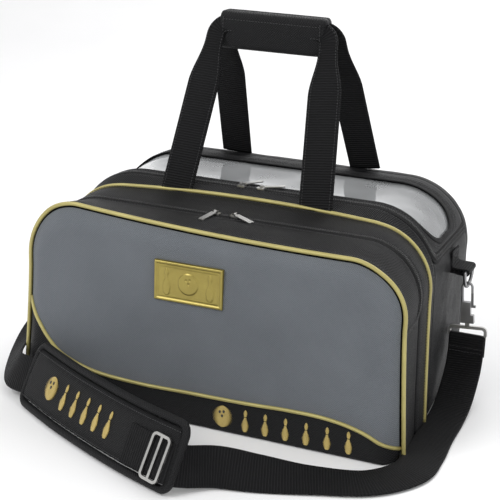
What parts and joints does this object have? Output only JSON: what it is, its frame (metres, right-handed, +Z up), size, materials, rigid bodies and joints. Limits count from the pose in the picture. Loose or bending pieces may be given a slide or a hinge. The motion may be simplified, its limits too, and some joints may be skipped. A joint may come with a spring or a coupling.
{
  "type": "bowling bag",
  "caption": "Soft two-ball bowling tote with a clear zippered lid, a zippered shoe pocket, carry handles and a padded shoulder strap.",
  "frame": {"origin": "on the floor, at the centre of the bag's footprint", "axes": "+X to the bag's right end, +Y from the shoe pocket to the back, +Z up"},
  "size_m": [0.5466, 0.5069, 0.4338],
  "materials": {
    "woven_nylon": "woven, slightly wrinkled",
    "panel_cloth": "satin heather",
    "piping_gold": "satin, olive gold",
    "webbing": "ribbed webbing",
    "clear_vinyl": "clear, flexible, glossy",
    "lining_board": "matte",
    "foam": "closed-cell foam",
    "zipper_tape": "coil zipper on tape",
    "nickel": "polished nickel",
    "gunmetal": "satin cast metal",
    "badge_gold": "stamped, satin gold",
    "pad_cloth": "padded nylon"
  },
  "bodies": {
    "bag": {"base_panel": "woven_nylon", "base_board": "lining_board", "ball_cup_left": "foam", "ball_cup_right": "foam", "divider_wall": "woven_nylon", "front_band": "woven_nylon", "end_panel_left": "woven_nylon", "end_panel_right": "woven_nylon", "back_panel": "woven_nylon", "rear_shoulder": "woven_nylon", "lid_zipper_lower": "zipper_tape", "pocket_gusset_rear": "woven_nylon", "pocket_gusset_lower_left": "woven_nylon", "pocket_gusset_lower_right": "woven_nylon", "pocket_front_lower": "panel_cloth", "pocket_zipper_rear": "zipper_tape", "front_piping_lower": "piping_gold", "seam_piping": "piping_gold", "d_ring_left": "nickel", "d_ring_right": "nickel", "d_ring_tab_left": "webbing", "d_ring_tab_right": "webbing"},
    "lid": {"lid_panel": "woven_nylon", "lid_window": "clear_vinyl", "lid_zipper_upper": "zipper_tape"},
    "pocket_flap": {"pocket_flap_panel": "panel_cloth", "pocket_flap_gusset": "woven_nylon", "pocket_zipper_front": "zipper_tape", "front_piping_upper": "piping_gold", "badge": "badge_gold"},
    "front_handle": {"front_handle_strap": "webbing", "front_grip_half": "woven_nylon"},
    "back_handle": {"back_handle_strap": "webbing", "back_grip_half": "woven_nylon"},
    "strap": {"strap_webbing_left": "webbing", "strap_webbing_right": "webbing", "shoulder_pad": "pad_cloth", "snap_hook_left": "gunmetal", "snap_hook_right": "gunmetal", "hook_eye_left": "nickel", "hook_eye_right": "nickel"},
    "strap_slide": {"strap_slide": "nickel"},
    "hook_gate_left": {"hook_gate_left": "gunmetal"},
    "hook_gate_right": {"hook_gate_right": "gunmetal"},
    "lid_slider_left": {"lid_slider_left": "nickel"},
    "lid_pull_left": {"lid_pull_left": "nickel"},
    "lid_slider_right": {"lid_slider_right": "nickel"},
    "lid_pull_right": {"lid_pull_right": "nickel"},
    "pocket_slider_left": {"pocket_slider_left": "nickel"},
    "pocket_pull_left": {"pocket_pull_left": "nickel"},
    "pocket_slider_right": {"pocket_slider_right": "nickel"},
    "pocket_pull_right": {"pocket_pull_right": "nickel"}
  },
  "joints": [
    {"name": "lid_hinge", "type": "hinge", "parent": "bag", "child": "lid", "pos_m": [0, 0.1124, 0.24], "axis": [-1, 0, 0], "range_deg": [0, 105]},
    {"name": "front_handle_fold", "type": "hinge", "parent": "bag", "child": "front_handle", "pos_m": [0, -0.057, 0.235], "axis": [1, 0, 0], "range_deg": [0, 100]},
    {"name": "back_handle_fold", "type": "hinge", "parent": "bag", "child": "back_handle", "pos_m": [0, 0.1205, 0.2436], "axis": [-1, 0, 0], "range_deg": [0, 106]},
    {"name": "pocket_flap_fold", "type": "hinge", "parent": "bag", "child": "pocket_flap", "pos_m": [0, -0.17, 0.136], "axis": [1, 0, 0], "range_deg": [0, 45]},
    {"name": "shoulder_strap_swing", "type": "hinge", "parent": "bag", "child": "strap", "pos_m": [0, 0.048, 0.156], "axis": [-1, 0, 0], "range_deg": [0, 65]},
    {"name": "lid_slider_left_run", "type": "slide", "parent": "lid", "child": "lid_slider_left", "axis": [-1, 0, 0], "range_m": [0, 0.115]},
    {"name": "lid_pull_left_turn", "type": "hinge", "parent": "lid_slider_left", "child": "lid_pull_left", "pos_m": [-0.014, -0.035, 0.2447], "axis": [0.8, -0.6, 0], "range_deg": [0, 110]},
    {"name": "lid_slider_right_run", "type": "slide", "parent": "lid", "child": "lid_slider_right", "axis": [1, 0, 0], "range_m": [0, 0.115]},
    {"name": "lid_pull_right_turn", "type": "hinge", "parent": "lid_slider_right", "child": "lid_pull_right", "pos_m": [0.0105, -0.035, 0.2447], "axis": [0.507, -0.8619, 0], "range_deg": [0, 110]},
    {"name": "pocket_slider_left_run", "type": "slide", "parent": "pocket_flap", "child": "pocket_slider_left", "axis": [-1, 0, 0], "range_m": [0, 0.125]},
    {"name": "pocket_pull_left_turn", "type": "hinge", "parent": "pocket_slider_left", "child": "pocket_pull_left", "pos_m": [-0.018, -0.1, 0.2277], "axis": [-0.9671, 0.2545, 0], "range_deg": [0, 110]},
    {"name": "pocket_slider_right_run", "type": "slide", "parent": "pocket_flap", "child": "pocket_slider_right", "axis": [1, 0, 0], "range_m": [0, 0.135]},
    {"name": "pocket_pull_right_turn", "type": "hinge", "parent": "pocket_slider_right", "child": "pocket_pull_right", "pos_m": [0.005, -0.1, 0.2277], "axis": [-0.4061, -0.9138, 0], "range_deg": [0, 110]},
    {"name": "hook_gate_left_press", "type": "slide", "parent": "strap", "child": "hook_gate_left", "axis": [-0.0785, 0, -0.9969], "range_m": [0, 0.0085], "stiffness_N_per_m": 60, "springref_m": -0.002},
    {"name": "hook_gate_right_press", "type": "slide", "parent": "strap", "child": "hook_gate_right", "axis": [0.0785, 0, -0.9969], "range_m": [0, 0.0085], "stiffness_N_per_m": 60, "springref_m": -0.002},
    {"name": "strap_slide_run", "type": "slide", "parent": "strap", "child": "strap_slide", "axis": [-0.9375, 0.3449, 0.0469], "range_m": [0, 0.025]}
  ],
  "couplings": [
    {"joint": "front_handle_fold", "follows": "lid_hinge", "ratio": 0.95},
    {"joint": "back_handle_fold", "follows": "lid_hinge", "ratio": 1}
  ]
}
